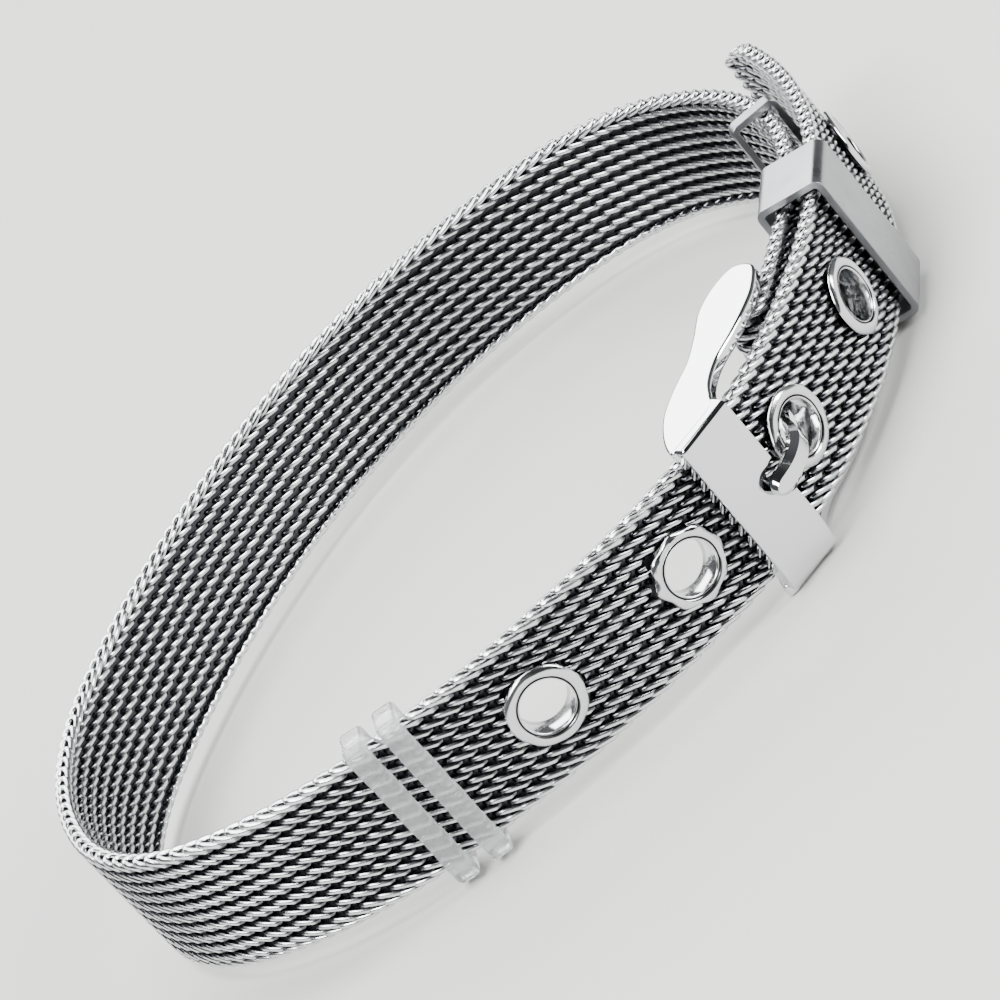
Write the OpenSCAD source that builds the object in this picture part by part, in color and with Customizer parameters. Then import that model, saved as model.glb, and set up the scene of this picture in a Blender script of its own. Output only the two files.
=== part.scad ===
// Mesh bracelet with a belt buckle, lying on its side, in millimetres.
// The band runs as one loop in the XY plane and its width stands along Z.
// The loop is a chain of tangent arcs from the folded end round to the free tail,
// and every fitting is placed by its distance along that chain.

/* [Band] */
// Width of the woven band
band_w = 10; // [8:0.5:12]
// Thickness of the woven band
band_t = 1.2; // [1:0.1:1.4]
// Length of the narrowing at the free end
tip_len = 3.5; // [2:0.5:7]
// Width of the narrow nose at the free end
tip_w = 8; // [4:0.5:9]

/* [Eyelets] */
// Diameter of the eyelet's opening
eyelet_bore = 3.4; // [3:0.1:3.6]
// Outer diameter of the eyelet's flange
eyelet_flange = 5.2; // [4.8:0.1:5.6]
// Thickness of the flange that lies on the outer face
flange_t = 0.35; // [0.2:0.05:0.45]
// Wall of the eyelet's barrel
barrel_wall = 0.3; // [0.2:0.05:0.4]

/* [Buckle] */
// Width of the buckle frame along the band's width
frame_w = 12.4; // [12:0.1:13]
// Thickness of each side arm
arm_t = 0.9; // [0.7:0.1:1]
// Thickness of the front plate
plate_t = 1.2; // [1:0.1:1.5]
// Length of the front plate along the band
plate_len = 4.2; // [3.5:0.1:4.6]
// Radius of the notch that takes the tongue's tip
notch_r = 1.3; // [1.1:0.05:1.4]
// Diameter of the pin that holds the folded end
pin_d = 1.2; // [1:0.1:1.3]
// Width of the tongue
tongue_w = 1.9; // [1.5:0.1:2]
// Thickness of the tongue
tongue_t = 0.8; // [0.6:0.1:0.8]

/* [Keepers] */
// Length of the closed sleeve along the band
sleeve_len = 5.2; // [4:0.1:6]
// Sheet thickness of both keepers
sheet_t = 0.5; // [0.4:0.1:0.6]
// Length of the narrow keeper along the band
loop_len = 1.1; // [0.8:0.1:2.2]
// Depth of the narrow keeper across the band's thickness, outside
loop_depth = 3.7; // [3.4:0.1:4]

/* [Stopper rings] */
// Width of each soft ring along the band
ring_len = 1.6; // [1.2:0.1:1.8]
// Wall of each soft ring
ring_wall = 0.8; // [0.6:0.1:1]

/* [Hidden] */
$fn = 120;

// Running clearance between pieces that slide, and between pieces that grip
slide_gap = 0.3;
grip_gap = 0.1;
// Small overrun that carries a cut clear of a face
over = 1;

// Height of the loop's middle plane, with the buckle frame standing on the surface
mid_z = frame_w / 2;

// The band's middle line: start x, start y and heading in degrees at the folded end
BAND_START = [20.32, -15.43, 52.16];
// Tangent arcs of the middle line, each [radius, sweep in degrees], all turning left
BAND_ARCS = [
    [80, 8.1], [24.5, 38], [23.5, 29], [16, 36], [35, 45], [57, 23], [25.5, 45],
    [15.5, 42], [26.5, 28], [50.5, 28], [23.5, 25], [42, 26], [43.5, 28], [10.5, 24]
];

// Distances of the fittings along the middle line
EYELET_AT = [155.3, 166.8, 177.9, 189.5, 208.3];
PLATE_AT = 172.3;
SLEEVE_AT = 196.7;
KEEPER_LOOP_AT = 22.3;
RINGS_AT = [145.3, 147.7];

// State [x, y, heading] at the end of an arc, and at the start of arc number i
function arc_end(p, radius, sweep) = [
    p[0] + radius * (sin(p[2] + sweep) - sin(p[2])),
    p[1] - radius * (cos(p[2] + sweep) - cos(p[2])),
    p[2] + sweep
];
function arc_start(i) = i == 0 ? BAND_START
    : arc_end(arc_start(i - 1), BAND_ARCS[i - 1][0], BAND_ARCS[i - 1][1]);
function arc_length(i) = BAND_ARCS[i][0] * BAND_ARCS[i][1] * PI / 180;
// State at a distance along the band
function station(dist, i = 0) = dist <= arc_length(i) || i == len(BAND_ARCS) - 1
    ? arc_end(arc_start(i), BAND_ARCS[i][0], dist / BAND_ARCS[i][0] * 180 / PI)
    : station(dist - arc_length(i), i + 1);

// The pin's axis lies one bend radius inside the band's first point
bend_r = pin_d / 2 + grip_gap;
pin_offset = bend_r + band_t / 2;
pin_x = BAND_START[0] - pin_offset * sin(BAND_START[2]);
pin_y = BAND_START[1] + pin_offset * cos(BAND_START[2]);

// Children in a frame on the band: X along it, Y towards the inside, Z across its width
module on_band(dist) {
    place = station(dist);
    translate([place[0], place[1], mid_z]) rotate([0, 0, place[2]]) children();
}

// The same frame on the pin's axis
module on_pin() {
    on_band(0) translate([0, pin_offset, 0]) children();
}

// A rectangle with round corners, centred
module round_rect(width, height, radius) {
    square([width - 2 * radius, height], center = true);
    square([width, height - 2 * radius], center = true);
    for (sx = [-1, 1], sy = [-1, 1])
        translate([sx * (width / 2 - radius), sy * (height / 2 - radius)]) circle(r = radius);
}

// A short tube of rectangular section along the band, centred on the frame's origin
module strap_tube(length, depth, width, wall, corner) {
    rotate([90, 0, 90]) linear_extrude(length, center = true) difference() {
        round_rect(depth, width, corner);
        square([depth - 2 * wall, width - 2 * wall], center = true);
    }
}

// Smooth closed outline through hand-set points, four steps to each span
function spline(a, b, c, d, u) = 0.5 * (2 * b + (c - a) * u
    + (2 * a - 5 * b + 4 * c - d) * pow(u, 2) + (3 * b - a - 3 * c + d) * pow(u, 3));
function smooth_ring(pts, steps = 4) = [
    for (i = [0 : len(pts) - 1], k = [0 : steps - 1])
        spline(pts[(i + len(pts) - 1) % len(pts)], pts[i], pts[(i + 1) % len(pts)],
            pts[(i + 2) % len(pts)], k / steps)
];
// Smooth open line through hand-set points
function smooth_line(pts, steps = 4) = concat([
    for (i = [0 : len(pts) - 2], k = [0 : steps - 1])
        spline(pts[max(i - 1, 0)], pts[i], pts[i + 1], pts[min(i + 2, len(pts) - 1)], k / steps)
], [pts[len(pts) - 1]]);

// Point beside the middle line at a distance along it, positive side outwards
function beside(dist, side) = let (p = station(dist)) [
    p[0] + side * band_t / 2 * sin(p[2]),
    p[1] - side * band_t / 2 * cos(p[2])
];
// The same for a point given in the pin's frame
function from_pin(q) = [
    pin_x + q[0] * cos(BAND_START[2]) - q[1] * sin(BAND_START[2]),
    pin_y + q[0] * sin(BAND_START[2]) + q[1] * cos(BAND_START[2])
];

// The band seen edge-on: the loop, with its end folded round the pin and closed inside
FOLD_LEN = 3.4;
BAND_STEPS = 150;
FOLD_STEPS = 12;
module band_section() {
    total = band_length();
    first_inner = ceil(FOLD_LEN / total * BAND_STEPS) + 1;
    fold_r = bend_r + band_t;
    difference() {
        polygon(concat(
            [for (i = [0 : BAND_STEPS]) beside(total * i / BAND_STEPS, 1)],
            [for (i = [BAND_STEPS : -1 : first_inner]) beside(total * i / BAND_STEPS, -1)],
            [from_pin([FOLD_LEN, -bend_r + 0.1]), from_pin([0.9, bend_r + 0.85 * band_t])],
            [for (i = [0 : FOLD_STEPS - 1]) let (turn = 90 + 180 * i / FOLD_STEPS)
                from_pin([fold_r * cos(turn), fold_r * sin(turn)])]
        ));
        translate([pin_x, pin_y]) circle(r = bend_r);
    }
}

// Total length of the band's middle line
function band_length(i = 0) = i == len(BAND_ARCS) ? 0 : arc_length(i) + band_length(i + 1);

// Corners cut from the free end, so that it narrows to a nose
module tip_cut() {
    reach = band_w / 2 + over;
    on_band(band_length()) for (side = [-1, 1])
        rotate([90, 0, 0]) linear_extrude(6 * band_t, center = true) polygon([
            [-tip_len, side * reach],
            [-0.6 * tip_len, side * (0.3 * tip_w / 2 + 0.7 * band_w / 2)],
            [-0.3 * tip_len, side * tip_w / 2],
            [over, side * tip_w / 2], [over, side * reach]
        ]);
}

barrel_d = eyelet_bore + 2 * barrel_wall;
eyelet_hole = barrel_d + 2 * grip_gap;

module mesh_band() color("silver") difference() {
    translate([0, 0, mid_z]) linear_extrude(band_w, center = true) band_section();
    for (dist = EYELET_AT) on_band(dist) rotate([90, 0, 0])
        cylinder(d = eyelet_hole, h = 4 * band_t, center = true);
    slot_w = tongue_w + 2 * slide_gap;
    slot_reach = bend_r + band_t + grip_gap;
    on_pin() translate([-slot_reach, -slot_reach, -slot_w / 2])
        cube([slot_reach + 1.8, 2 * slot_reach, slot_w]);
    tip_cut();
}

// A rolled eyelet: a barrel with a broad flange outside and a narrow curl inside
module eyelet(dist) color("gainsboro") {
    inner_seat = band_t / 2 + 1.5 * grip_gap;
    outer_seat = band_t / 2 + grip_gap;
    curl_t = 0.7 * flange_t;
    on_band(dist) rotate([90, 0, 0]) rotate_extrude() polygon([
        [eyelet_bore / 2, -inner_seat - curl_t],
        [barrel_d / 2 + 0.3, -inner_seat - curl_t],
        [barrel_d / 2 + 0.4, -inner_seat],
        [barrel_d / 2, -inner_seat],
        [barrel_d / 2, outer_seat],
        [eyelet_flange / 2, outer_seat],
        [eyelet_flange / 2 - 0.1, outer_seat + 0.7 * flange_t],
        [barrel_d / 2, outer_seat + flange_t],
        [eyelet_bore / 2, outer_seat + 0.8 * flange_t]
    ]);
}

// Side arm outline as offsets from the pin, from the ear round the waist to the plate
ARM_OUTLINE = [
    [2.2, 0.5], [1.3, 2.1], [-0.5, 1.8], [-2.3, 0.4], [-3.7, -1.9], [-5.1, -3.9],
    [-6.8, -5.5], [-8.3, -7.3], [-9.2, -9.3], [-9.6, -11.1], [-9.2, -12.5],
    [-7.4, -11.9], [-5.6, -11.0], [-5.3, -9.4], [-4.8, -7.8], [-3.6, -6.2],
    [-1.9, -4.9], [-0.3, -3.5], [1.2, -1.8]
];

plate_seat = band_t / 2 + slide_gap;
plate_place = station(PLATE_AT);
// The front plate seen edge-on, with a round outer end
module plate_section() {
    nose_r = plate_t / 2;
    rotate([0, 0, plate_place[2]]) translate([0, -plate_seat - plate_t / 2]) {
        translate([-plate_len / 2 + nose_r, -plate_t / 2]) square([plate_len - nose_r, plate_t]);
        translate([-plate_len / 2 + nose_r, 0]) circle(r = nose_r);
    }
}

// Two side arms joined by the front plate, which has a round notch for the tongue's tip
module buckle_frame() color("whitesmoke") difference() {
    union() {
        translate([plate_place[0], plate_place[1], mid_z])
            linear_extrude(frame_w - 2 * arm_t, center = true) plate_section();
        for (side = [-1, 1]) translate([0, 0, mid_z + side * (frame_w - arm_t) / 2])
            linear_extrude(arm_t, center = true) {
                translate([pin_x, pin_y]) polygon(smooth_ring(ARM_OUTLINE));
                translate([plate_place[0], plate_place[1]]) plate_section();
            }
    }
    on_band(PLATE_AT) translate([plate_len / 2, -plate_seat - plate_t / 2, 0]) rotate([90, 0, 0])
        cylinder(r = notch_r, h = 2 * plate_t, center = true);
}

module buckle_pin() color("silver") {
    pin_len = frame_w - 2 * arm_t;
    on_pin() cylinder(d = pin_d, h = pin_len, center = true);
}

// Middle line of the tongue in the frame of the eyelet that it passes through:
// along the band towards the pin, then outwards
TONGUE_LINE = [
    [5.9, -3.5], [4.2, -2.9], [2.3, -2.15], [0.85, -1.1], [0, 0], [-0.85, 1.1],
    [-2.1, 2.0], [-3.8, 2.45], [-5.7, 2.2]
];
TONGUE_EYELET = 2;

// Left-hand normal of a smooth line at point i
function unit(v) = v / norm(v);
function line_normal(pts, i) = let (
    along = unit(pts[min(i + 1, len(pts) - 1)] - pts[max(i - 1, 0)])
) [-along[1], along[0]];

module buckle_tongue() color("gainsboro") {
    line = smooth_line(TONGUE_LINE);
    eye_r = pin_d / 2 + grip_gap;
    difference() {
        union() {
            on_pin() cylinder(r = eye_r + 0.7, h = tongue_w, center = true);
            on_band(EYELET_AT[TONGUE_EYELET]) intersection() {
                mirror([0, 1, 0]) linear_extrude(tongue_w, center = true) polygon(concat(
                    [for (i = [0 : len(line) - 1]) line[i] + tongue_t / 2 * line_normal(line, i)],
                    [for (i = [len(line) - 1 : -1 : 0]) line[i] - tongue_t / 2 * line_normal(line, i)]
                ));
                rotate([90, 0, 0]) linear_extrude(12, center = true) {
                    translate([-4.75, -tongue_w / 2]) square([14, tongue_w]);
                    translate([-4.75, 0]) circle(d = tongue_w);
                }
            }
        }
        on_pin() cylinder(r = eye_r, h = tongue_w + over, center = true);
    }
}

// The sleeve is centred between the free tail and the layer under it
SLEEVE_LAYER_GAP = 2.1;
module keeper_sleeve() color("gainsboro") {
    depth = SLEEVE_LAYER_GAP + band_t + 2 * (slide_gap + sheet_t);
    width = band_w + 2 * (slide_gap + sheet_t);
    on_band(SLEEVE_AT) translate([0, SLEEVE_LAYER_GAP / 2, 0])
        strap_tube(sleeve_len, depth, width, sheet_t, sheet_t);
}

// The narrow keeper hangs on the inner layer and rests against its outer face
module keeper_loop() color("gainsboro") {
    width = band_w + 2 * (slide_gap + sheet_t);
    seat = band_t / 2 + grip_gap + sheet_t;
    on_band(KEEPER_LOOP_AT) translate([0, loop_depth / 2 - seat, 0])
        strap_tube(loop_len, loop_depth, width, sheet_t, sheet_t);
}

module stopper_ring(dist) color("white", 0.8) {
    depth = band_t + 2 * (grip_gap + ring_wall);
    width = band_w + 2 * (grip_gap + ring_wall);
    on_band(dist) strap_tube(ring_len, depth, width, ring_wall, ring_wall);
}

mesh_band();
buckle_frame();
buckle_pin();
buckle_tongue();
eyelet(EYELET_AT[0]);  // eyelet_1
eyelet(EYELET_AT[1]);  // eyelet_2
eyelet(EYELET_AT[2]);  // eyelet_3
eyelet(EYELET_AT[3]);  // eyelet_4
eyelet(EYELET_AT[4]);  // eyelet_5
keeper_sleeve();
keeper_loop();
stopper_ring(RINGS_AT[0]);  // stopper_ring_1
stopper_ring(RINGS_AT[1]);  // stopper_ring_2
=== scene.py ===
"""Scene of a woven steel mesh bracelet, buckled and lying on its side.

Every fitting is placed by its distance along the band, as in the CAD model. Pieces are built in
millimetres in a local frame and laid into the row frame, in metres, when they are finished.
"""
import logging
import math
import random
from abc import ABC, abstractmethod
from dataclasses import dataclass
from enum import Enum
from functools import cache

import bmesh
import bpy
from mathutils import Matrix, Vector, noise


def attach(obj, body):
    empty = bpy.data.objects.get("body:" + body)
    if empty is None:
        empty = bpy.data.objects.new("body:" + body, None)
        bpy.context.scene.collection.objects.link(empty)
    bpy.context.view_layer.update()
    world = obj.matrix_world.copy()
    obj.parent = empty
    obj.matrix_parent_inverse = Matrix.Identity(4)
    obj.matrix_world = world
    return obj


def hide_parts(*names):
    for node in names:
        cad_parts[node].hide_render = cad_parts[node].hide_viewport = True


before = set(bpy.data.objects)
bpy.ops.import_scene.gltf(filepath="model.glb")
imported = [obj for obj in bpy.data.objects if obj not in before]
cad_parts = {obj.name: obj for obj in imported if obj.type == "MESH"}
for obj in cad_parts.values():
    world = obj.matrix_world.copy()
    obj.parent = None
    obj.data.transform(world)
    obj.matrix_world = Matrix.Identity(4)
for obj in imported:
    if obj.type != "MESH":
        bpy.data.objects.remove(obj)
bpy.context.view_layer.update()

LOG = logging.getLogger("mesh_bracelet")

MM = 0.001
UP = Vector((0.0, 0.0, 1.0))
BODY = "root"
EXPOSURE = "exposure"
Points = list[tuple[float, float]]

# The band's cross-section, the height of its middle line and the eyelets' places along it
BAND_W = 10.0
BAND_T = 1.2
MID_HEIGHT = 6.2
EYELET_PLACES = (155.3, 166.8, 177.9, 189.5, 208.3)


def linear(hex_colour: str) -> tuple[float, float, float, float]:
    """Turns an sRGB colour into the linear one that the shaders take.

    Args:
        hex_colour: A hash and six hex digits.

    Returns:
        Linear red, green, blue and an alpha of one.
    """
    channels = (int(hex_colour[i:i + 2], 16) / 255 for i in (1, 3, 5))
    values = [c / 12.92 if c <= 0.04045 else ((c + 0.055) / 1.055) ** 2.4 for c in channels]
    return (*values, 1.0)


def add_node(tree: bpy.types.NodeTree, kind: str, settings: dict | None = None,
             inputs: dict | None = None, links: dict | None = None) -> bpy.types.Node:
    """Adds one node with its settings, socket values and incoming links.

    Args:
        tree: Node tree that gets the node.
        kind: Blender's name of the node type.
        settings: Attributes of the node, by name.
        inputs: Values of input sockets, by socket name.
        links: Output sockets that feed input sockets, by input name.

    Returns:
        The new node.
    """
    node = tree.nodes.new(kind)
    for name, value in (settings or {}).items():
        setattr(node, name, value)
    for name, value in (inputs or {}).items():
        node.inputs[name].default_value = value
    for name, output in (links or {}).items():
        tree.links.new(output, node.inputs[name])
    return node


def fine_bump(tree: bpy.types.NodeTree, place: bpy.types.NodeSocket, grain_mm: float,
              height_mm: float) -> bpy.types.NodeSocket:
    """Adds a bump of fine noise.

    Args:
        tree: Node tree that gets the nodes.
        place: Coordinates of the surface, in metres.
        grain_mm: Size of the noise's grain.
        height_mm: Height of the bumps.

    Returns:
        The bumped normal.
    """
    grain = add_node(tree, "ShaderNodeTexNoise",
                     inputs={"Scale": 1 / (grain_mm * MM), "Detail": 2.0}, links={"Vector": place})
    bump = add_node(tree, "ShaderNodeBump",
                    inputs={"Strength": 1.0, "Distance": height_mm * MM},
                    links={"Height": grain.outputs["Fac"]})
    return bump.outputs["Normal"]


@dataclass(frozen=True)
class Surface(ABC):
    """A finish: the name of its material and the colour that it starts from."""

    name: str
    colour: str

    @abstractmethod
    def shader(self, tree: bpy.types.NodeTree) -> bpy.types.Node:
        """Adds the nodes of the finish to an empty tree and gives back its shader."""

    def material(self) -> bpy.types.Material:
        """Builds the finish's material."""
        material = bpy.data.materials.new(self.name)
        material.use_nodes = True
        tree = material.node_tree
        tree.nodes.clear()
        add_node(tree, "ShaderNodeOutputMaterial",
                 links={"Surface": self.shader(tree).outputs[0]})
        return material


@dataclass(frozen=True)
class SteelFinish(Surface):
    """Stainless steel, with its gloss broken by handling marks and a fine surface grain.

    Attributes:
        roughness: Least and greatest roughness, as the marks change it.
        grain_stretch: How much longer the grain is across the band than along it.
        recess_shade_colour: Colour of the painted shade, where the exposure is low, if the colour
            isn't the same all over.
        recess_shade_range: Exposures between which the painted shade fades into the colour.
    """

    roughness: tuple[float, float]
    mark_mm: float
    grain_mm: float
    grain_height_mm: float
    grain_stretch: float = 1.0
    recess_shade_colour: str = ""
    recess_shade_range: tuple[float, float] = (0.55, 0.97)

    def shader(self, tree: bpy.types.NodeTree) -> bpy.types.Node:
        """Adds the steel's nodes and gives back the shader."""
        place = add_node(tree, "ShaderNodeTexCoord").outputs["Object"]
        marks = add_node(tree, "ShaderNodeTexNoise",
                         inputs={"Scale": 1 / (self.mark_mm * MM), "Detail": 3.0},
                         links={"Vector": place})
        gloss = add_node(tree, "ShaderNodeMapRange",
                         inputs={"From Min": 0.3, "From Max": 0.7,
                                 "To Min": self.roughness[0], "To Max": self.roughness[1]},
                         links={"Value": marks.outputs["Fac"]})
        drawn = add_node(tree, "ShaderNodeMapping",
                         inputs={"Scale": (1.0, 1.0, 1 / self.grain_stretch)},
                         links={"Vector": place})
        normal = fine_bump(tree, drawn.outputs["Vector"], self.grain_mm, self.grain_height_mm)
        shader = add_node(tree, "ShaderNodeBsdfPrincipled",
                          inputs={"Base Color": linear(self.colour), "Metallic": 1.0},
                          links={"Roughness": gloss.outputs["Result"], "Normal": normal})
        if self.recess_shade_colour:
            # Painted shade: the steel's colour darkens where the piece's own exposure value is low
            exposure = add_node(tree, "ShaderNodeAttribute", {"attribute_name": EXPOSURE})
            low, high = self.recess_shade_range
            share = add_node(tree, "ShaderNodeMapRange", {"interpolation_type": "SMOOTHSTEP"},
                             inputs={"From Min": low, "From Max": high},
                             links={"Value": exposure.outputs["Fac"]})
            mix = add_node(tree, "ShaderNodeMix", {"data_type": "RGBA"},
                           links={"Factor": share.outputs["Result"]})
            mix.inputs[6].default_value = linear(self.recess_shade_colour)
            mix.inputs[7].default_value = linear(self.colour)
            tree.links.new(mix.outputs[2], shader.inputs["Base Color"])
        return shader


@dataclass(frozen=True)
class SiliconeFinish(Surface):
    """Cast clear silicone, cloudy inside and matt outside, so that the wires glow through it."""

    roughness: float
    transmission: float
    ripple_mm: float
    ripple_height_mm: float
    ior: float = 1.41

    def shader(self, tree: bpy.types.NodeTree) -> bpy.types.Node:
        """Adds the silicone's nodes and gives back the shader."""
        place = add_node(tree, "ShaderNodeTexCoord").outputs["Object"]
        normal = fine_bump(tree, place, self.ripple_mm, self.ripple_height_mm)
        return add_node(tree, "ShaderNodeBsdfPrincipled",
                        inputs={"Base Color": linear(self.colour), "Roughness": self.roughness,
                                "IOR": self.ior, "Transmission Weight": self.transmission},
                        links={"Normal": normal})


@dataclass(frozen=True)
class PlainFinish(Surface):
    """Matt painted board for the floor."""

    roughness: float

    def shader(self, tree: bpy.types.NodeTree) -> bpy.types.Node:
        """Adds the plain shader."""
        return add_node(tree, "ShaderNodeBsdfPrincipled",
                        inputs={"Base Color": linear(self.colour), "Roughness": self.roughness})


class Finish(Enum):
    """The finishes of the bracelet's pieces."""

    # Stainless wire, woven, rolled flat and tumbled: each strand is bright on its rolled face, and
    # painted shade darkens the colour between the strands and deeper in the weave
    WOVEN_WIRE = SteelFinish("stainless_wire_rolled", "#DEDFE0", (0.18, 0.30), 1.5, 0.12, 0.004,
                             recess_shade_colour="#66676B")
    # The same wire deep in the weave, one sheet coloured dark as painted shade inside the weave
    INNER_WIRE = SteelFinish("stainless_wire_inner", "#5A5B5F", (0.50, 0.62), 0.8, 0.15, 0.006)
    # Stainless casting, mirror polished: sharp reflections with a faint pull over wide faces
    MIRROR = SteelFinish("stainless_mirror_polished", "#D8D9DA", (0.05, 0.10), 3.0, 1.6, 0.004)
    # Stainless strip, polished after it is rolled into an eyelet: bright with small tool marks,
    # and painted shade in the groove round the bore and under the flange's rim
    ROLLED = SteelFinish("stainless_rolled_eyelet", "#D4D5D6", (0.12, 0.22), 1.2, 0.35, 0.006,
                         recess_shade_colour="#303032")
    # Stainless sheet, brushed across the band's width: grey, streaky and softly shaded
    SATIN = SteelFinish("stainless_sheet_satin", "#8C8D90", (0.26, 0.38), 2.0, 0.08, 0.003, 14.0)
    # Stainless rod as drawn: duller than the castings
    DRAWN = SteelFinish("stainless_rod_drawn", "#BDBEC0", (0.24, 0.34), 1.0, 0.10, 0.002, 8.0)
    # Clear silicone as cast: cloudy, with soft wet-looking highlights
    SILICONE = SiliconeFinish("silicone_clear_cast", "#EEF0F0", 0.22, 0.80, 0.5, 0.06)
    # Floor of matt pale board
    FLOOR = PlainFinish("board_pale_matt", "#BDBDBB", 0.85)


@cache
def material_of(finish: Finish) -> bpy.types.Material:
    """Gives a finish's material, made once and shared by its pieces."""
    return finish.value.material()


@dataclass(frozen=True)
class Station:
    """A place on a path in millimetres: its origin, its run and its outer side."""

    origin: Vector
    along: Vector
    outward: Vector

    def point(self, along: float, outward: float, up: float) -> Vector:
        """Gives the point at these offsets from the station, in millimetres."""
        return self.origin + self.along * along + self.outward * outward + UP * up

    def matrix(self) -> Matrix:
        """Gives the local frame: X along the path, Y inwards and Z across the band's width."""
        inward = -self.outward
        rows = [(self.along[i], inward[i], UP[i], self.origin[i]) for i in range(3)]
        return Matrix((*rows, (0.0, 0.0, 0.0, 1.0)))


@dataclass(frozen=True)
class BandPath:
    """Middle line of the band: the fold round the pin, then a chain of tangent arcs to the tail."""

    start: tuple[float, float, float] = (20.32, -15.43, 52.16)
    arcs: tuple[tuple[float, float], ...] = (
        (80, 8.1), (24.5, 38), (23.5, 29), (16, 36), (35, 45), (57, 23), (25.5, 45),
        (15.5, 42), (26.5, 28), (50.5, 28), (23.5, 25), (42, 26), (43.5, 28), (10.5, 24))
    fold: tuple[tuple[float, float], ...] = ((1.3, 180.0), (2.6, 42.0))

    @property
    def length(self) -> float:
        """Length of the middle line from the pin to the end of the tail."""
        return sum(radius * math.radians(sweep) for radius, sweep in self.arcs)

    @property
    def fold_length(self) -> float:
        """Length of the middle line from the flap's end to the pin."""
        return sum(radius * math.radians(sweep) for radius, sweep in self.fold)

    def station(self, dist: float) -> Station:
        """Finds a place on the middle line.

        Args:
            dist: Distance from the pin in millimetres, negative in the fold.

        Returns:
            The station there.
        """
        x, y, heading = self.start
        heading = math.radians(heading)
        left = abs(dist)
        for radius, sweep in self.arcs if dist >= 0 else self.fold:
            step = min(left, radius * math.radians(sweep))
            turned = heading + math.copysign(step / radius, dist)
            x += radius * (math.sin(turned) - math.sin(heading))
            y -= radius * (math.cos(turned) - math.cos(heading))
            heading = turned
            left -= step
            if left <= 0:
                break
        along = Vector((math.cos(heading), math.sin(heading), 0.0))
        outward = Vector((along.y, -along.x, 0.0))
        return Station(Vector((x, y, MID_HEIGHT)) + along * math.copysign(left, dist),
                       along, outward)

    def pin(self, offset: float) -> Station:
        """Gives the frame on the pin's axis, that far inwards from the band's first point."""
        first = self.station(0.0)
        return Station(first.point(0.0, -offset, 0.0), first.along, first.outward)


def smooth_line(points: Points, steps: int, closed: bool) -> Points:
    """Fills in a smooth line through given points.

    Args:
        points: The hand-set points.
        steps: Steps to each span.
        closed: True for a ring.

    Returns:
        points: The given points.
    """
    before, after = (points[-1:], points[:2]) if closed else (points[:1], points[-1:])
    held = before + points + after
    line = []
    for a, b, c, d in zip(held, held[1:], held[2:], held[3:]):
        for part in (step / steps for step in range(steps)):
            line.append(tuple(0.5 * (2 * b[k] + (c[k] - a[k]) * part
                                     + (2 * a[k] - 5 * b[k] + 4 * c[k] - d[k]) * part ** 2
                                     + (3 * b[k] - a[k] - 3 * c[k] + d[k]) * part ** 3)
                              for k in (0, 1)))
    return line if closed else line + [points[-1]]


def round_rect(width: float, height: float, radius: float, steps: int) -> Points:
    """Outlines a rectangle with round corners, centred.

    Args:
        width: Full width.
        height: Full height.
        radius: Corner radius.
        steps: Steps to each corner.

    Returns:
        The outline's points in order.
    """
    points = []
    for quarter, (sx, sy) in enumerate(((1, 1), (-1, 1), (-1, -1), (1, -1))):
        cx, cy = sx * (width / 2 - radius), sy * (height / 2 - radius)
        for k in range(steps + 1):
            turn = math.radians(90 * (quarter + k / steps))
            points.append((cx + radius * math.cos(turn), cy + radius * math.sin(turn)))
    return points


def prism(outline: Points, thickness: float) -> bmesh.types.BMesh:
    """Extrudes an outline in the XY plane, centred on Z.

    Args:
        outline: Points of the outline in order.
        thickness: Extruded thickness.

    Returns:
        The new bmesh.
    """
    bm = bmesh.new()
    face = bm.faces.new([bm.verts.new((x, y, -thickness / 2)) for x, y in outline])
    grown = bmesh.ops.extrude_face_region(bm, geom=[face])["geom"]
    raised = [v for v in grown if isinstance(v, bmesh.types.BMVert)]
    bmesh.ops.translate(bm, vec=(0.0, 0.0, thickness), verts=raised)
    return bm


def round_edges(bm: bmesh.types.BMesh, edges: list[bmesh.types.BMEdge], width: float,
                segments: int) -> None:
    """Rounds edges in place, to that width and in that many steps."""
    bmesh.ops.bevel(bm, geom=edges, offset=width, offset_type="OFFSET", segments=segments,
                    profile=0.5, affect="EDGES", material=-1, clamp_overlap=True)


def add_object(name: str, data: bpy.types.ID) -> bpy.types.Object:
    """Makes an object of its data and links it to the scene."""
    obj = bpy.data.objects.new(name, data)
    bpy.context.scene.collection.objects.link(obj)
    return obj


def wire_mesh(name: str, runs: list[list[Vector]], radius: float) -> bpy.types.Mesh:
    """Makes a mesh of round wires with six sides and closed ends.

    Args:
        name: Name of the mesh.
        runs: Points of each wire.
        radius: Radius of the wires.

    Returns:
        The new mesh.
    """
    curve = bpy.data.curves.new(name, "CURVE")
    curve.dimensions = "3D"
    curve.bevel_depth = radius
    curve.bevel_resolution = 1
    curve.use_fill_caps = True
    for run in runs:
        spline = curve.splines.new("POLY")
        spline.points.add(len(run) - 1)
        for slot, point in zip(spline.points, run):
            slot.co = (*point, 1.0)
    carrier = add_object(name, curve)
    bpy.context.view_layer.update()
    graph = bpy.context.evaluated_depsgraph_get()
    mesh = bpy.data.meshes.new_from_object(carrier.evaluated_get(graph))
    mesh.name = name
    bpy.data.objects.remove(carrier)
    return mesh


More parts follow.
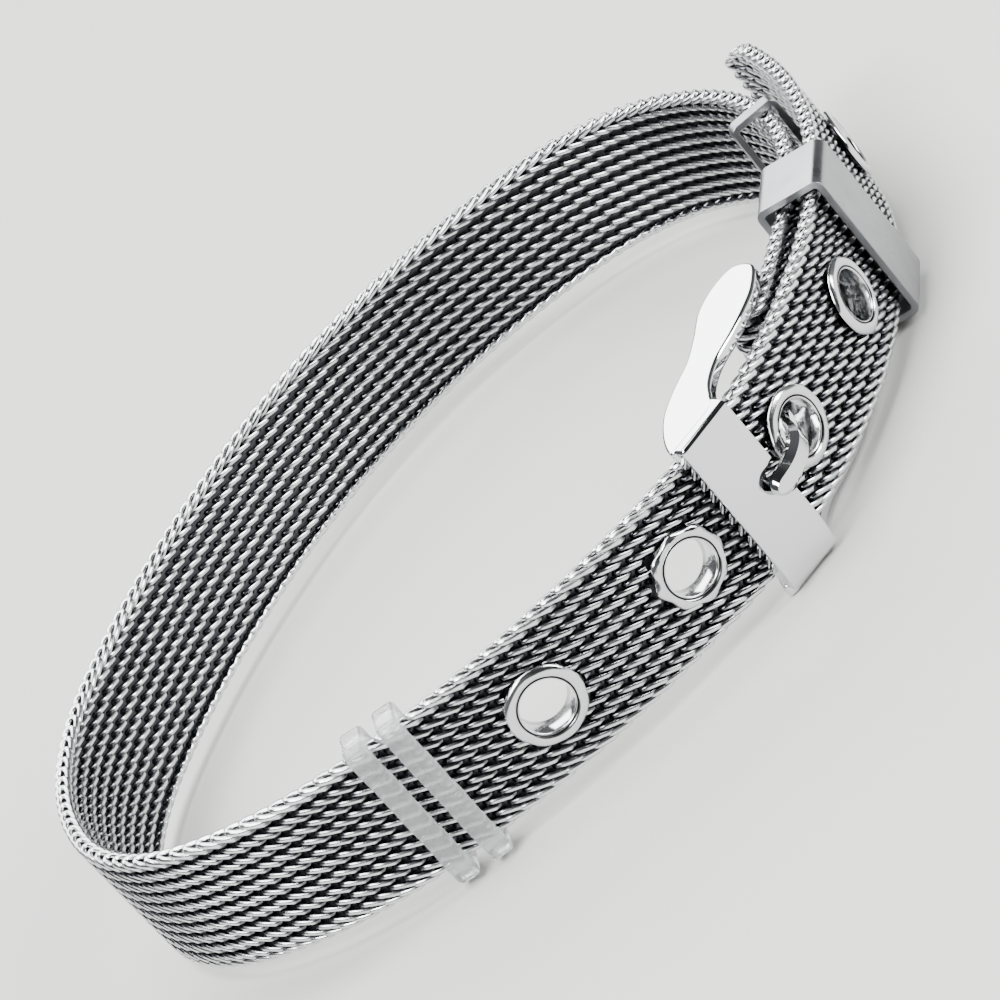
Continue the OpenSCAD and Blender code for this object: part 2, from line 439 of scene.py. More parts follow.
def lathe(section: Points, axis: Vector, steps: int) -> bmesh.types.BMesh:
    """Turns a closed section about an axis through the origin.

    Args:
        section: Points as distance from the axis, along X, and place along the axis.
        axis: The axis.
        steps: Steps round the axis.

    Returns:
        The new bmesh.
    """
    bm = bmesh.new()
    verts = [bm.verts.new(Vector((radius, 0.0, 0.0)) + axis * place) for radius, place in section]
    edges = [bm.edges.new((a, b)) for a, b in zip(verts, verts[1:] + verts[:1])]
    bmesh.ops.spin(bm, geom=verts + edges, cent=(0, 0, 0), axis=axis, dvec=(0, 0, 0),
                   angle=2 * math.pi, steps=steps, use_merge=True, use_normal_flip=False,
                   use_duplicate=False)
    return bm


@dataclass(frozen=True)
class Piece:
    """What a finished piece is called, what it looks like and what it stands for."""

    name: str
    finish: Finish
    slot: str
    nodes: tuple[str, ...]
    edge_mm: float = 0.0
    edge_steps: int = 3
    smooth_deg: float = 40.0

    def place(self, bm: bmesh.types.BMesh, local: Matrix) -> None:
        """Lays a bmesh in millimetres into the row frame as a finished piece.

        Args:
            bm: The shape in its local frame; it is freed.
            local: Local frame in millimetres.
        """
        bmesh.ops.transform(bm, matrix=Matrix.Scale(MM, 4) @ local, verts=bm.verts)
        bmesh.ops.recalc_face_normals(bm, faces=bm.faces)
        mesh = bpy.data.meshes.new(self.name)
        bm.to_mesh(mesh)
        bm.free()
        self.dress(mesh)

    def dress(self, mesh: bpy.types.Mesh) -> None:
        """Makes the object of a finished mesh, hangs it on the body and hides the CAD parts that it
        replaces.

        Args:
            mesh: Mesh in the row frame, in metres.
        """
        mesh.shade_smooth()
        mesh.set_sharp_from_angle(angle=math.radians(self.smooth_deg))
        mesh.materials.clear()
        mesh.materials.append(material_of(self.finish))
        obj = add_object(self.name, mesh)
        if self.edge_mm:
            bevel = obj.modifiers.new("rounded_edges", "BEVEL")
            bevel.width = self.edge_mm * MM
            bevel.segments = self.edge_steps
            bevel.limit_method = "ANGLE"
            bevel.angle_limit = math.radians(self.smooth_deg)
            bevel.harden_normals = True
        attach(obj, BODY)
        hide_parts(*self.nodes)
        LOG.info("built %s: %d faces", self.name, len(mesh.polygons))


@dataclass(frozen=True)
class Strand:
    """One corner of a winding: share of the half length, of the half depth, and of the pitch."""

    along: float
    outward: float
    drop: float


@dataclass
class MeshBand:
    """The woven band: flattened coils of wire, each hooked through the next and rolled flat.

    Attributes:
        coil_gap: Distance from coil to coil along the band.
        pitch: Distance from winding to winding across it.
        rolled_depth: Thickness after rolling, which flattens the wires' crowns.
        edge_shade: How fast the painted shade deepens inwards from the edges' bright turns.
        eyelet_clear: Radius without wires round an eyelet's middle.
        barrel_clear: Radius without inner strands there.
        slot_half: Half the height of the tongue's slot in the fold, which ends at slot_to.
    """

    path: BandPath
    eyelets: tuple[float, ...] = EYELET_PLACES
    wire_r: float = 0.22
    coil_gap: float = 1.12
    pitch: float = 0.96
    half_length: float = 0.95
    rolled_depth: float = 1.12
    edge_gap: float = 0.02
    edge_shade: float = 0.25
    unevenness: float = 0.02
    end_lean: float = 0.42
    eyelet_clear: float = 2.25
    barrel_clear: float = 2.1
    slot_half: float = 1.47
    slot_to: float = 1.9
    tip_length: float = 3.5
    tip_width: float = 8.0
    inner_step: float = 0.4
    inner_t: float = 0.12
    pieces: int = 3
    seed: int = 7

    # A winding starts on the outer face, runs down and along it, and returns on the inner face
    WINDING = (
        Strand(-0.80, 0.62, -0.04), Strand(-0.48, 0.94, 0.045), Strand(0.00, 1.00, 0.255),
        Strand(0.48, 0.94, 0.465), Strand(0.80, 0.62, 0.55), Strand(1.00, 0.00, 0.57),
        Strand(0.80, -0.62, 0.59), Strand(0.42, -0.95, 0.665), Strand(0.00, -1.00, 0.76),
        Strand(-0.42, -0.95, 0.855), Strand(-0.80, -0.62, 0.93), Strand(-1.00, 0.00, 0.945))

    def half_width(self, dist: float) -> float:
        """Gives half the band's width at a distance, less at the narrowing tail.

        Args:
            dist: Distance along the band.

        Returns:
            Half the width there.
        """
        left = self.path.length - dist
        bend, straight = 0.6 * self.tip_length, 0.3 * self.tip_length
        wide, narrow = BAND_W / 2, self.tip_width / 2
        shoulder = 0.3 * narrow + 0.7 * wide
        if left >= self.tip_length:
            return wide
        if left >= bend:
            share = (left - bend) / (self.tip_length - bend)
            return shoulder + share * (wide - shoulder)
        share = max(0.0, left - straight) / (bend - straight)
        return narrow + share * (shoulder - narrow)

    def coil(self, dist: float, rng: random.Random) -> list[Vector]:
        """Lays out one coil on the flat band.

        Args:
            dist: Distance of the coil's middle along the band.
            rng: Source of the weave's small unevenness.

        Returns:
            Points as distance along, offset outwards and height across the band.
        """
        reach = self.half_width(dist) - self.wire_r - self.edge_gap
        turns = max(1, round(2 * reach / self.pitch))
        pitch = 2 * reach / turns
        depth = BAND_T / 2 - self.wire_r
        shift = rng.uniform(-self.unevenness, self.unevenness)
        points = []
        for turn in range(-1, turns + 1):
            for strand in self.WINDING:
                # The end turns lie over the next coil's like shingles, which makes a rope of the edge
                if turn < 0:
                    up = reach - self.end_lean * (1 + strand.along) / 2
                elif turn == turns:
                    up = -reach + self.end_lean * (1 - strand.along) / 2
                else:
                    up = reach - (turn + max(0.0, strand.drop)) * pitch
                points.append(Vector((dist + strand.along * self.half_length + shift,
                                      strand.outward * depth, up)))
        return points

    def is_open(self, point: Vector, clear: float) -> bool:
        """Says whether a place on the flat band is cut out for an eyelet or the tongue.

        Args:
            point: Distance along, offset outwards and height across the band.
            clear: Radius that stays clear round an eyelet's middle.

        Returns:
            True if no wire runs there.
        """
        if point.x < self.slot_to and abs(point.z) < self.slot_half:
            return True
        return any(math.hypot(point.x - at, point.z) < clear for at in self.eyelets)

    def runs(self, points: list[Vector]) -> list[list[Vector]]:
        """Splits a coil where the band is cut out.

        Args:
            points: The whole coil.

        Returns:
            The unbroken runs of wire that are left.
        """
        found: list[list[Vector]] = [[]]
        for point in points:
            if self.is_open(point, self.eyelet_clear):
                found.append([])
            else:
                found[-1].append(point)
        return [run for run in found if len(run) > 1]

    def bend(self, mesh: bpy.types.Mesh) -> None:
        """Rolls the flat weave level on both faces, lays it along the band's path and marks its
        painted shade.

        Args:
            mesh: Flat weave in millimetres; it ends in the row frame, in metres.
        """
        level, bright_edge = self.rolled_depth / 2, 0.1
        exposure = mesh.attributes.new(EXPOSURE, "FLOAT", "POINT")
        for vertex in mesh.vertices:
            dist, out, up = vertex.co
            out = max(-level, min(level, out))
            # Painted shade: exposure falls with depth below the rolled faces and with distance in
            # from the edges
            edge_depth = self.edge_shade * (self.half_width(dist) - bright_edge - abs(up))
            depth = min(level - abs(out), max(0.0, edge_depth))
            exposure.data[vertex.index].value = max(0.0, 1 - depth / self.wire_r)
            vertex.co = self.path.station(dist).point(0.0, out, up) * MM

    def build_inner(self) -> None:
        """Builds the crossing strands inside the weave as one layer, dark as painted shade, to close
        the gaps.
        """
        first, last = -self.path.fold_length + 0.4, self.path.length - 0.9
        bm = bmesh.new()
        bmesh.ops.create_grid(bm, x_segments=round((last - first) / self.inner_step),
                              y_segments=round(BAND_W / self.inner_step), size=0.5)
        for vertex in bm.verts:
            dist = first + (vertex.co.x + 0.5) * (last - first)
            reach = self.half_width(dist) - 2 * self.wire_r
            vertex.co = (dist, 0.0, 2 * reach * vertex.co.y)
        cut = [f for f in bm.faces if self.is_open(f.calc_center_median(), self.barrel_clear)]
        bmesh.ops.delete(bm, geom=cut, context="FACES")
        bmesh.ops.solidify(bm, geom=bm.faces[:], thickness=self.inner_t)
        middle = sum(v.co.y for v in bm.verts) / len(bm.verts)
        for vertex in bm.verts:
            station = self.path.station(vertex.co.x)
            vertex.co = station.point(0.0, vertex.co.y - middle, vertex.co.z)
        Piece("mesh_inner_strands", Finish.INNER_WIRE, "mesh_steel", ("mesh_band",)).place(
            bm, Matrix.Identity(4))

    def build(self) -> None:
        """Weaves the whole band in a few pieces."""
        self.build_inner()
        rng = random.Random(self.seed)
        first = -self.path.fold_length + 0.6
        last = self.path.length - self.half_length - self.wire_r
        count = int((last - first) / self.coil_gap) + 1
        gap = (last - first) / (count - 1)
        dists = [first + gap * i for i in range(count)]
        share = math.ceil(count / self.pieces)
        for number in range(self.pieces):
            runs = [run for dist in dists[number * share:(number + 1) * share]
                    for run in self.runs(self.coil(dist, rng))]
            name = f"mesh_wires_{number + 1}"
            mesh = wire_mesh(name, runs, self.wire_r)
            self.bend(mesh)
            Piece(name, Finish.WOVEN_WIRE, "mesh_steel", ("mesh_band",), smooth_deg=70.0).dress(mesh)


@dataclass
class Eyelets:
    """Rolled steel eyelets: a barrel, a rounded flange outside and a small curl inside.

    Attributes:
        seat: Distance from the band's middle to the flange's seat.
        crown_in: Distance from the bore to the flange's highest ring.
        lobe: How far the edge of the dented eyelet is pulled out of round.
        least_lobe: The same on the other eyelets.
    """

    path: BandPath
    places: tuple[float, ...] = EYELET_PLACES
    bore_d: float = 3.4
    flange_d: float = 5.2
    wall: float = 0.3
    flange_t: float = 0.34
    seat: float = 0.7
    inner_seat: float = 0.75
    crown_in: float = 0.42
    steps: int = 72
    dented: int = 2
    lobe: float = 0.10
    least_lobe: float = 0.02

    def profile(self) -> Points:
        """Outlines the eyelet's section.

        Returns:
            Points as radius and offset outwards.
        """
        bore, barrel = self.bore_d / 2, self.bore_d / 2 + self.wall
        rim, curl = self.flange_d / 2, 0.7 * self.flange_t
        crown = bore + self.crown_in
        section = [
            (bore, -self.inner_seat - 0.4 * curl), (bore + 0.12, -self.inner_seat - curl),
            (barrel + 0.3, -self.inner_seat - curl), (barrel + 0.4, -self.inner_seat),
            (barrel, -self.inner_seat), (barrel, self.seat), (rim - 0.06, self.seat)]
        top, low = self.seat + self.flange_t, self.seat + 0.05
        for turn in range(0, 91, 15):
            angle = math.radians(turn)
            section.append((crown + (rim - crown) * math.cos(angle),
                            low + (top - low) * math.sin(angle)))
        # A groove and a small bead run round the bore, where the strip is rolled over
        return section + [(bore + 0.24, top - 0.02), (bore + 0.19, top - 0.12),
                          (bore + 0.14, top - 0.12), (bore + 0.10, top - 0.05),
                          (bore + 0.05, top - 0.06), (bore, top - 0.14)]

    def build(self) -> None:
        """Builds the five eyelets."""
        for number, dist in enumerate(self.places, start=1):
            bm = lathe([(radius, -out) for radius, out in self.profile()],
                       Vector((0.0, 1.0, 0.0)), self.steps)
            self.work_rim(bm, number)
            name = f"eyelet_{number}"
            Piece(f"{name}_rolled", Finish.ROLLED, "eyelet_steel", (name,), smooth_deg=60.0).place(
                bm, self.path.station(dist).matrix())

    def work_rim(self, bm: bmesh.types.BMesh, number: int) -> None:
        """Pulls the flange's edge out of round and marks the painted shade in its groove and under
        its rim.

        Args:
            bm: The eyelet about its own axis.
            number: Number of the eyelet, from one.
        """
        lobe = self.lobe if number == self.dented else self.least_lobe
        exposure = bm.verts.layers.float.new(EXPOSURE)
        bore = self.bore_d / 2
        for vertex in bm.verts:
            radius = math.hypot(vertex.co.x, vertex.co.z)
            # Painted shade: the groove round the bore and the seat under the flange's rim are marked
            # dark
            in_groove = vertex.co.y < -self.seat and 0.13 < radius - bore < 0.20
            under_rim = abs(vertex.co.y + self.seat) < 0.01 and radius > bore + 0.1
            vertex[exposure] = 0.0 if in_groove or under_rim else 1.0
            if radius < bore + self.wall + 0.3 or vertex.co.y > 0:
                continue
            angle = math.atan2(vertex.co.z, vertex.co.x)
            pull = lobe * (math.sin(8 * angle + number) + 0.4 * math.sin(3 * angle)) - lobe * 1.4
            vertex.co.x *= 1 + pull / radius
            vertex.co.z *= 1 + pull / radius


@dataclass
class Buckle:
    """The polished buckle: a front plate with a notch, two side arms, the pin and the tongue.

    Attributes:
        plate_seat: Distance from the band's middle to the plate's back.
        inset: How far the plate's ends stay inside the arms' outer faces.
        roll_height: Height of the rolled lower end on the plate's outer and inner side.
        roll_lip: Thickness that is left at the roll's foot.
        pin_offset: Distance from the band's middle to the pin's axis.
        tongue_taper: Share of the tongue's width that is lost towards the tip.
        tip_thinning: Share of its thickness that is lost at the tip.
    """

    path: BandPath
    plate_at: float = 172.3
    tongue_at: float = EYELET_PLACES[2]
    width: float = 12.4
    arm_t: float = 0.9
    plate_t: float = 1.2
    plate_length: float = 4.2
    plate_seat: float = 0.9
    inset: float = 0.02
    notch_r: float = 1.3
    corner_r: float = 0.62
    low_corner_r: float = 0.9
    upper_corner_r: float = 0.31
    roll_height: tuple[float, float] = (2.6, 0.7)
    roll_lip: float = 0.2
    pin_d: float = 1.2
    pin_offset: float = 1.3
    tongue_w: float = 1.9
    tongue_t: float = 0.8
    tongue_bevel: float = 0.42
    tongue_back_bevel: float = 0.15
    tongue_taper: float = 0.12
    tip_thinning: float = 0.25
    eye_gap: float = 0.1
    eye_wall: float = 0.7

    # Side arm from the ear round the waist to the plate, as offsets from the pin
    ARM = ((2.2, 0.5), (1.3, 2.1), (-0.5, 1.8), (-2.3, 0.4), (-3.7, -1.9), (-5.1, -3.9),
           (-6.8, -5.5), (-8.3, -7.3), (-9.2, -9.3), (-9.6, -11.1), (-9.35, -11.9),
           (-7.7, -11.35), (-5.8, -10.5), (-5.4, -9.4), (-4.8, -7.8), (-3.6, -6.2),
           (-1.9, -4.9), (-0.3, -3.5), (1.2, -1.8))

    # Middle line of the tongue from the pin to its tip, in the frame of the eyelet that it fills
    TONGUE = ((5.9, -3.5), (4.2, -2.9), (2.3, -2.15), (0.85, -1.1), (0.0, 0.0), (-0.85, 1.1),
              (-2.1, 2.0), (-3.8, 2.45), (-5.7, 2.2))

    def build(self) -> None:
        """Builds the frame, the pin and the tongue."""
        self.build_plate()
        self.build_arms()
        self.build_pin()
        self.build_tongue()

    def build_plate(self) -> None:
        """Builds the front plate with its notch, its ends rounded over into the side arms."""
        half, top = self.plate_length / 2, self.width / 2 - self.inset
        close, steps = 1e-3, 24
        notch = [(half - self.notch_r * math.sin(math.pi * k / steps),
                  -self.notch_r * math.cos(math.pi * k / steps)) for k in range(steps + 1)]
        bm = prism([(-half, -top), (half, -top), *notch, (half, top), (-half, top)], self.plate_t)
        for x, y, radius in ((-half, -top, self.low_corner_r), (half, -top, self.corner_r),
                             (-half, top, self.upper_corner_r)):
            corner = [e for e in bm.edges
                      if all((v.co.xy - Vector((x, y))).length < close for v in e.verts)]
            round_edges(bm, corner, radius, 8)
        # The rim is rounded all round but for the inner end and its notch
        front = max(bm.faces, key=lambda face: face.calc_center_median().z)
        rim = [e for e in front.edges
               if min(v.co.x for v in e.verts) < half - close
               and not all(v.co.x > 0 and abs(v.co.y) < self.notch_r + close for v in e.verts)]
        round_edges(bm, rim, self.corner_r, 6)
        self.roll_end(bm, top)
        turn = Matrix(((1, 0, 0, 0), (0, 0, -1, 0), (0, 1, 0, 0), (0, 0, 0, 1)))
        shift = Matrix.Translation((0.0, -self.plate_seat - self.plate_t / 2, 0.0))
        local = self.path.station(self.plate_at).matrix() @ shift @ turn
        Piece("buckle_front_plate", Finish.MIRROR, "buckle_steel", ("buckle_frame",),
              edge_mm=0.14, smooth_deg=32.0).place(bm, local)

    def roll_end(self, bm: bmesh.types.BMesh, top: float) -> None:
        """Rolls the plate's front over into the lower arm.

        Args:
            bm: The plate, its height along Y and its front towards +Z.
            top: Half the plate's height.
        """
        wide, narrow = self.roll_height
        half, foot = self.plate_length / 2, self.roll_lip - self.plate_t / 2
        down, along = 14, 10
        cuts = [((0, -top + wide * (1 - math.sin(math.pi / 2 * step / down)), 0), (0, 1, 0))
                for step in range(down)]
        cuts += [((-half + self.plate_length * step / along, 0, 0), (1, 0, 0))
                 for step in range(1, along)]
        for place, normal in cuts:
            low = [f for f in bm.faces if min(v.co.y for v in f.verts) < wide - top]
            around = {part for face in low for part in (*face.verts, *face.edges, face)}
            bmesh.ops.bisect_plane(bm, geom=list(around), plane_co=place, plane_no=normal)
        for vertex in bm.verts:
            reach = wide + (narrow - wide) * (vertex.co.x + half) / self.plate_length
            share = min(1.0, max(0.0, (reach - top - vertex.co.y) / reach))
            front = foot + (self.plate_t - self.roll_lip) * math.sqrt(1 - share ** 2)
            vertex.co.z = min(vertex.co.z, front)

    def build_arms(self) -> None:
        """Builds the two side arms."""
        pin = self.path.pin(self.pin_offset).origin
        for name, side in (("upper", 1), ("lower", -1)):
            bm = prism(smooth_line(list(self.ARM), 8, True), self.arm_t)
            height = side * (self.width - self.arm_t) / 2
            local = Matrix.Translation(pin + UP * height)
            Piece(f"buckle_arm_{name}", Finish.MIRROR, "buckle_steel", ("buckle_frame",),
                  edge_mm=0.30, edge_steps=5, smooth_deg=32.0).place(bm, local)

    def build_pin(self) -> None:
        """Builds the pin between the side arms."""
        bm = bmesh.new()
        bmesh.ops.create_cone(bm, cap_ends=True, segments=40, radius1=self.pin_d / 2,
                              radius2=self.pin_d / 2, depth=self.width - 2 * self.arm_t)
        Piece("buckle_pin_rod", Finish.DRAWN, "pin_steel", ("buckle_pin",)).place(
            bm, self.path.pin(self.pin_offset).matrix())

    def build_tongue(self) -> None:
        """Builds the tongue's blade and the eye that turns on the pin."""
        line = smooth_line(list(self.TONGUE), 6, False)
        lengths = [0.0]
        for a, b in zip(line, line[1:]):
            lengths.append(lengths[-1] + math.dist(a, b))
        total = lengths[-1]
        bm = bmesh.new()
        bmesh.ops.create_cube(bm, size=1.0)
        bmesh.ops.scale(bm, vec=(total, self.tongue_t, self.tongue_w), verts=bm.verts)
        bmesh.ops.translate(bm, vec=(total / 2, 0, 0), verts=bm.verts)
        long_edges = [e for e in bm.edges if e.calc_length() > self.tongue_w + 0.1]
        front = [e for e in long_edges if all(v.co.y > 0 for v in e.verts)]
        back = [e for e in long_edges if all(v.co.y < 0 for v in e.verts)]
        round_edges(bm, front, self.tongue_bevel, 1)
        round_edges(bm, [e for e in back if e.is_valid], self.tongue_back_bevel, 2)
        steps, end = 44, self.tongue_w / 2
        cuts = [total * step / steps for step in range(1, steps)]
        cuts += [total - end * (1 - math.cos(math.radians(a))) for a in (12, 25, 38, 52, 66, 80)]
        for cut in cuts:
            bmesh.ops.bisect_plane(bm, geom=bm.verts[:] + bm.edges[:] + bm.faces[:],
                                   plane_co=(cut, 0, 0), plane_no=(1, 0, 0))
        for vertex in bm.verts:
            vertex.co = self.tongue_point(vertex.co, line, lengths)
        local = self.path.station(self.tongue_at).matrix()
        Piece("buckle_tongue_blade", Finish.MIRROR, "tongue_steel", ("buckle_tongue",),
              smooth_deg=26.0).place(bm, local)
        self.build_eye()

    def tongue_point(self, flat: Vector, line: Points, lengths: list[float]) -> Vector:
        """Bends a point of the straight blade onto the tongue's line and tapers it.

        Args:
            flat: Distance from the pin, offset to the outer side and height across.
            line: Points of the tongue's line.
            lengths: Distance of each point along the line.

        Returns:
            The point in the frame of the eyelet.
        """
        total = lengths[-1]
        dist = max(0.0, min(total, flat.x))
        index = max(i for i, length in enumerate(lengths[:-1]) if length <= dist + 1e-9)
        share = (dist - lengths[index]) / (lengths[index + 1] - lengths[index])
        a, b = line[index], line[index + 1]

        def heading(i: int) -> Vector:
            """Gives the line's run at one of its points."""
            before, after = line[max(i - 1, 0)], line[min(i + 1, len(line) - 1)]
            return Vector((after[0] - before[0], after[1] - before[1])).normalized()

        run = heading(index).lerp(heading(index + 1), share).normalized()
        side = Vector((run.y, -run.x))
        end = self.tongue_w / 2
        taper = 1.0 - self.tongue_taper * (dist / total)
        near = max(0.0, dist - (total - end)) / end
        across = flat.z * taper * math.sqrt(max(0.02, 1 - near ** 2))
        out = flat.y * (1 - self.tip_thinning * near)
        x = a[0] + (b[0] - a[0]) * share + side.x * out
        y = a[1] + (b[1] - a[1]) * share + side.y * out
        return Vector((x, -y, across))

    def build_eye(self) -> None:
        """Builds the ring of the tongue round the pin."""
        inner, outer = self.pin_d / 2 + self.eye_gap, self.pin_d / 2 + self.eye_gap + self.eye_wall
        half = self.tongue_w / 2
        bm = lathe([(inner, -half), (outer, -half), (outer, half), (inner, half)], UP, 48)
        Piece("buckle_tongue_eye", Finish.MIRROR, "tongue_steel", ("buckle_tongue",),
              edge_mm=0.15).place(bm, self.path.pin(self.pin_offset).matrix())


def strap_tube(length: float, depth: float, width: float, wall: float,
               corner: float) -> bmesh.types.BMesh:
    """Bends a strip into a closed tube round the band, in the band's own frame.

    Args:
        length: Length along the band.
        depth: Outer depth across the band's thickness.
        width: Outer width across the band's width.
        wall: Thickness of the strip.
        corner: Outer corner radius.

    Returns:
        The new bmesh, X along the band.
    """
    outer = round_rect(depth, width, corner, 8)
    inner = round_rect(depth - 2 * wall, width - 2 * wall, max(0.12, corner - wall), 8)
    bm = bmesh.new()
    loops = []
    for outline in (outer, inner):
        verts = [bm.verts.new((-length / 2, y, z)) for y, z in outline]
        loops.append([bm.edges.new((a, b)) for a, b in zip(verts, verts[1:] + verts[:1])])
    cap = bmesh.ops.bridge_loops(bm, edges=loops[0] + loops[1])["faces"]
    grown = bmesh.ops.extrude_face_region(bm, geom=cap)["geom"]
    bmesh.ops.translate(bm, vec=(length, 0, 0),
                        verts=[v for v in grown if isinstance(v, bmesh.types.BMVert)])
    return bm


@dataclass
class Keepers:
    """The satin sleeve and the narrow loop that hold the free tail.

    Attributes:
        layer_gap: Distance between the two layers' middles inside the sleeve.
        loop_seat: Distance from the band's middle to the loop's outer face.
    """

    path: BandPath
    sleeve_at: float = 196.7
    sleeve_length: float = 5.2
    sleeve_corner_r: float = 0.75
    layer_gap: float = 2.1
    loop_at: float = 22.3
    loop_length: float = 1.1
    loop_depth: float = 3.7
    loop_corner_r: float = 0.65
    loop_seat: float = 1.2
    sheet_t: float = 0.5
    gap: float = 0.3

    def build(self) -> None:
        """Builds both keepers."""
        around = 2 * (self.gap + self.sheet_t)
        width, depth = BAND_W + around, self.layer_gap + BAND_T + around
        sleeve = Piece("keeper_sleeve_sheet", Finish.SATIN, "keeper_steel", ("keeper_sleeve",),
                       edge_mm=0.07, edge_steps=2)
        sleeve.place(strap_tube(self.sleeve_length, depth, width, self.sheet_t,
                                self.sleeve_corner_r),
                     self.path.station(self.sleeve_at).matrix()
                     @ Matrix.Translation((0, self.layer_gap / 2, 0)))
        loop = Piece("keeper_loop_sheet", Finish.SATIN, "keeper_steel", ("keeper_loop",),
                     edge_mm=0.1, edge_steps=2)
        loop.place(strap_tube(self.loop_length, self.loop_depth, width, self.sheet_t,
                              self.loop_corner_r),
                   self.path.station(self.loop_at).matrix()
                   @ Matrix.Translation((0, self.loop_depth / 2 - self.loop_seat, 0)))


@dataclass
class StopperRings:
    """Two soft rings that stop a charm from sliding, slightly lumpy as cast.

    Attributes:
        lump_mm: Height of the lumps; the smooth ring is that much smaller all round.
        long_edge: Length from which an edge is cut up, to follow the lumps.
    """

    path: BandPath
    places: tuple[float, ...] = (145.3, 147.7)
    length: float = 1.6
    wall: float = 0.8
    gap: float = 0.1
    corner_r: float = 0.6
    rim_r: float = 0.22
    lump_mm: float = 0.07
    long_edge: float = 0.9

    def build(self) -> None:
        """Builds both rings."""
        around = 2 * (self.gap + self.wall - self.lump_mm)
        for number, dist in enumerate(self.places, start=1):
            bm = strap_tube(self.length - 2 * self.lump_mm, BAND_T + around, BAND_W + around,
                            self.wall - self.lump_mm, self.corner_r)
            rims = [e for e in bm.edges if len(e.link_faces) == 2
                    and e.calc_face_angle(0.0) > math.radians(60)]
            round_edges(bm, rims, self.rim_r, 3)
            long_edges = [e for e in bm.edges if e.calc_length() > self.long_edge]
            bmesh.ops.subdivide_edges(bm, edges=long_edges, cuts=8, use_grid_fill=True)
            bmesh.ops.recalc_face_normals(bm, faces=bm.faces)
            bm.normal_update()
            for vertex in bm.verts:
                lump = noise.noise(vertex.co * 0.9 + Vector((11.0 * number, 0.0, 0.0)))
                vertex.co += vertex.normal * self.lump_mm * lump
            name = f"stopper_ring_{number}"
            Piece(f"{name}_silicone", Finish.SILICONE, "clear_silicone", (name,),
                  smooth_deg=80.0).place(bm, self.path.station(dist).matrix())


@dataclass(frozen=True)
class Softbox:
    """A soft rectangular light: its name, its place and size in metres, and its power in watts."""

    name: str
    place: tuple[float, float, float]
    size: tuple[float, float]
    watts: float


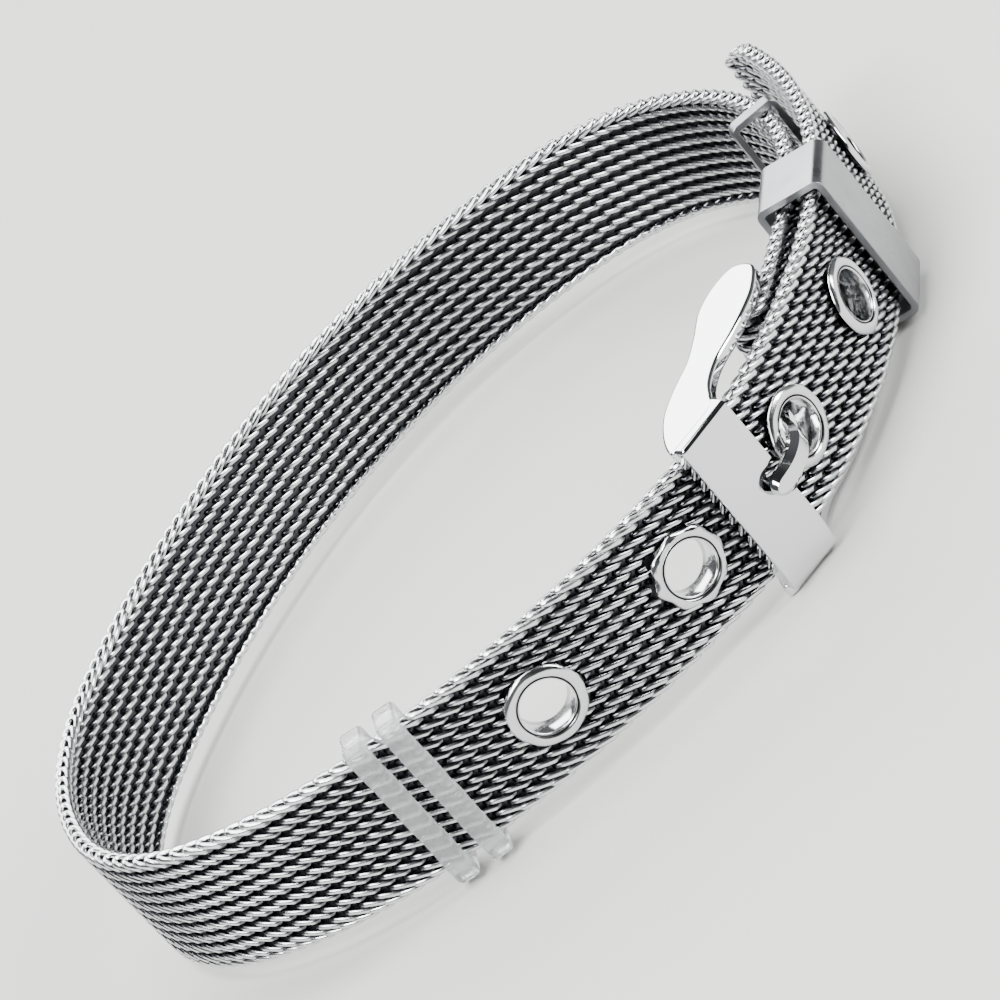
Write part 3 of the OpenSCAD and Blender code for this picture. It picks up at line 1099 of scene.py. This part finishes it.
@dataclass
class Studio:
    """Pale floor, soft lights and the camera at the photograph's angle.

    Attributes:
        aim: Point that the camera and the lights face, in metres.
        ceiling: Strength of the surround's dim ceiling and of the dark card.
        wall_top: Heights between which the pale walls end, where straight up is 1.
        card: Direction of the dark card, which gives the polished edges dark lines.
        card_edge: Cosines to it, between which the card begins.
    """

    floor_size: float = 3.0
    aim: tuple[float, float, float] = (0.00058, -0.00241, 0.0062)
    elevation: float = 25.0
    distance: float = 0.280
    roll: float = -41.41
    lens_mm: float = 158.72
    surround: str = "#9A9CA0"
    walls: float = 0.42
    ceiling: float = 0.10
    wall_top: tuple[float, float] = (0.45, 0.80)
    card: tuple[float, float, float] = (0.62, -0.62, 0.47)
    card_edge: tuple[float, float] = (0.76, 0.90)

    LIGHTS = (Softbox("key", (-0.28, -0.30, 0.50), (0.30, 0.26), 7.0),
              Softbox("side", (0.45, -0.12, 0.25), (0.14, 0.36), 4.5),
              Softbox("back", (-0.05, 0.50, 0.36), (0.60, 0.34), 6.0),
              Softbox("overhead", (-0.05, 0.05, 0.60), (0.42, 0.36), 7.0))

    def build(self) -> None:
        """Builds the floor, the surround, the lights and the camera."""
        self.build_floor()
        self.build_world()
        self.build_lights()
        self.build_camera()

    def build_floor(self) -> None:
        """Lays the plain floor under the bracelet."""
        bm = bmesh.new()
        bmesh.ops.create_grid(bm, x_segments=1, y_segments=1, size=self.floor_size / 2)
        mesh = bpy.data.meshes.new("floor")
        bm.to_mesh(mesh)
        bm.free()
        mesh.materials.append(material_of(Finish.FLOOR))
        add_object("floor", mesh)

    def build_world(self) -> None:
        """Sets pale walls, a dim ceiling and a dark card, which polished faces reflect."""
        world = bpy.data.worlds.new("studio")
        bpy.context.scene.world = world
        world.use_nodes = True
        tree = world.node_tree
        tree.nodes.clear()
        place = add_node(tree, "ShaderNodeTexCoord").outputs["Object"]
        height = add_node(tree, "ShaderNodeSeparateXYZ", links={"Vector": place}).outputs["Z"]
        walls = add_node(tree, "ShaderNodeMapRange", {"interpolation_type": "SMOOTHSTEP"},
                         inputs={"From Min": self.wall_top[0], "From Max": self.wall_top[1],
                                 "To Min": self.walls, "To Max": self.ceiling},
                         links={"Value": height})
        toward = add_node(tree, "ShaderNodeVectorMath", {"operation": "DOT_PRODUCT"})
        tree.links.new(place, toward.inputs[0])
        toward.inputs[1].default_value = self.card
        strength = add_node(tree, "ShaderNodeMapRange", {"interpolation_type": "SMOOTHSTEP"},
                            inputs={"From Min": self.card_edge[0], "From Max": self.card_edge[1],
                                    "To Max": self.ceiling},
                            links={"Value": toward.outputs["Value"],
                                   "To Min": walls.outputs["Result"]})
        shade = add_node(tree, "ShaderNodeBackground", inputs={"Color": linear(self.surround)},
                         links={"Strength": strength.outputs["Result"]})
        add_node(tree, "ShaderNodeOutputWorld", links={"Surface": shade.outputs[0]})

    def build_lights(self) -> None:
        """Hangs the soft lights, which all face the bracelet."""
        for box in self.LIGHTS:
            light = bpy.data.lights.new(f"light_{box.name}", "AREA")
            light.shape = "RECTANGLE"
            light.size, light.size_y = box.size
            light.energy = box.watts
            lamp = add_object(light.name, light)
            lamp.location = box.place
            toward = Vector(self.aim) - Vector(box.place)
            lamp.rotation_euler = toward.to_track_quat("-Z", "Y").to_euler()

    def build_camera(self) -> None:
        """Places the camera from its elevation, distance and roll."""
        rise = math.radians(self.elevation)
        back = Vector((0.0, -math.cos(rise), math.sin(rise)))
        camera = add_object("camera", bpy.data.cameras.new("camera"))
        camera.data.sensor_width = 36.0
        camera.data.lens = self.lens_mm
        camera.data.clip_start = 0.01
        level = back.to_track_quat("Z", "Y").to_matrix()
        camera.matrix_world = (Matrix.Translation(Vector(self.aim) + back * self.distance)
                               @ (level @ Matrix.Rotation(math.radians(self.roll), 3, "Z")).to_4x4())
        bpy.context.scene.camera = camera


def main() -> None:
    """Builds the dressed bracelet and the studio."""
    logging.basicConfig(level=logging.INFO, format="%(name)s: %(message)s")
    path = BandPath()
    for assembly in (MeshBand, Eyelets, Buckle, Keepers, StopperRings):
        assembly(path).build()
    Studio().build()


if __name__ == "__main__":
    main()
